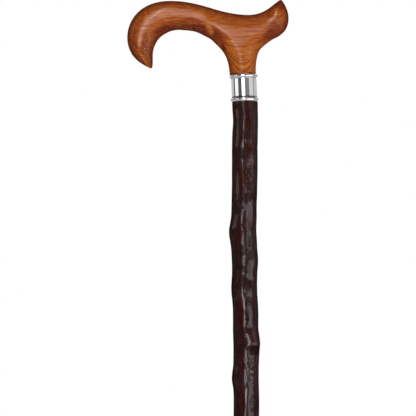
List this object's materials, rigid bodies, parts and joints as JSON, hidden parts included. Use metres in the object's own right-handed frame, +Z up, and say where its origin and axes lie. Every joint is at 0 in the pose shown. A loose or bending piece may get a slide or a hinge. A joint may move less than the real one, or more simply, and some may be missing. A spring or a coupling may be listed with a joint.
{
  "type": "walking cane",
  "caption": "Walking cane with a carved derby handle, a bright metal collar, a knotty bark-on blackthorn stick and a pull-off rubber tip.",
  "frame": {"origin": "centre of the rubber tip's sole, on the floor", "axes": "+Z up the stick towards the handle, +X towards the handle's tail, so the hook points along -X"},
  "size_m": [0.127, 0.034, 0.9144],
  "materials": {
    "handle_wood": "glossy varnish",
    "collar_metal": "polished",
    "stud_steel": "plain threaded steel",
    "stick_bark": "varnished bark",
    "disc_steel": "plain steel",
    "tip_rubber": "moulded matt rubber"
  },
  "bodies": {
    "cane": {"handle": "handle_wood", "collar_sleeve": "collar_metal", "collar_top_ring": "collar_metal", "collar_bottom_ring": "collar_metal", "joining_stud": "stud_steel", "stick": "stick_bark"},
    "tip": {"tip_disc": "disc_steel", "rubber_tip": "tip_rubber"}
  },
  "joints": [
    {"name": "tip_pull", "type": "slide", "parent": "cane", "child": "tip", "axis": [0, 0, -1], "range_m": [0, 0.05]}
  ]
}
